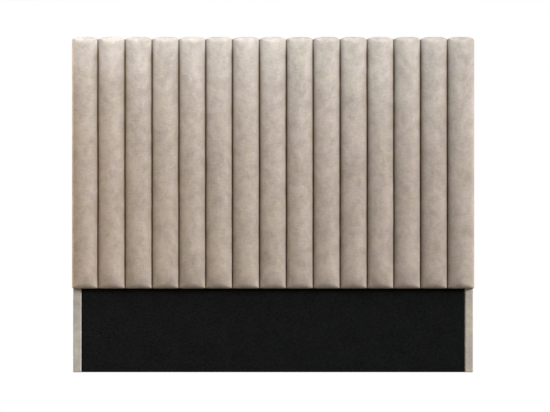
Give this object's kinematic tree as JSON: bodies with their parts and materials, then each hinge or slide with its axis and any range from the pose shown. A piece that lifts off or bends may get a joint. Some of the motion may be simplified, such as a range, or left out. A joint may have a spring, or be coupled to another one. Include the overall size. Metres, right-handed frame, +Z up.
{
  "type": "upholstered headboard",
  "caption": "Floor-standing velvet headboard with vertical padded channels over a black cloth panel between two wrapped feet.",
  "frame": {"origin": "on the floor, at the middle of the headboard's width and of its depth", "axes": "+X across the bed, to the right seen from the bed; +Y from the bed towards the wall; +Z up"},
  "size_m": [1.5, 0.1, 1.25],
  "materials": {
    "velvet": "matte",
    "foam": "matte",
    "wadding": "matte",
    "timber": "matte",
    "board": "matte",
    "block_ply": "matte",
    "zinc": "satin",
    "black_cloth": "matte",
    "back_cloth": "matte"
  },
  "bodies": {
    "root": {"back_cloth": "back_cloth", "back_staples": "zinc", "black_cloth": "black_cloth", "board_staples": "zinc", "bottom_rail": "timber", "corner_blocks": "block_ply", "face_board": "board", "foam_channel_01": "foam", "foam_channel_02": "foam", "foam_channel_03": "foam", "foam_channel_04": "foam", "foam_channel_05": "foam", "foam_channel_06": "foam", "foam_channel_07": "foam", "foam_channel_08": "foam", "foam_channel_09": "foam", "foam_channel_10": "foam", "foam_channel_11": "foam", "foam_channel_12": "foam", "foam_channel_13": "foam", "foam_channel_14": "foam", "foam_channel_15": "foam", "left_foot_velvet": "velvet", "left_side_padding": "wadding", "left_stile": "timber", "lower_board": "board", "lower_stud_1": "timber", "lower_stud_2": "timber", "lower_stud_3": "timber", "middle_rail": "timber", "right_foot_velvet": "velvet", "right_side_padding": "wadding", "right_stile": "timber", "top_padding": "foam", "top_rail": "timber", "upper_stud_1": "timber", "upper_stud_2": "timber", "upper_stud_3": "timber", "velvet_channel_01": "velvet", "velvet_channel_02": "velvet", "velvet_channel_03": "velvet", "velvet_channel_04": "velvet", "velvet_channel_05": "velvet", "velvet_channel_06": "velvet", "velvet_channel_07": "velvet", "velvet_channel_08": "velvet", "velvet_channel_09": "velvet", "velvet_channel_10": "velvet", "velvet_channel_11": "velvet", "velvet_channel_12": "velvet", "velvet_channel_13": "velvet", "velvet_channel_14": "velvet", "velvet_channel_15": "velvet"}
  },
  "joints": []
}
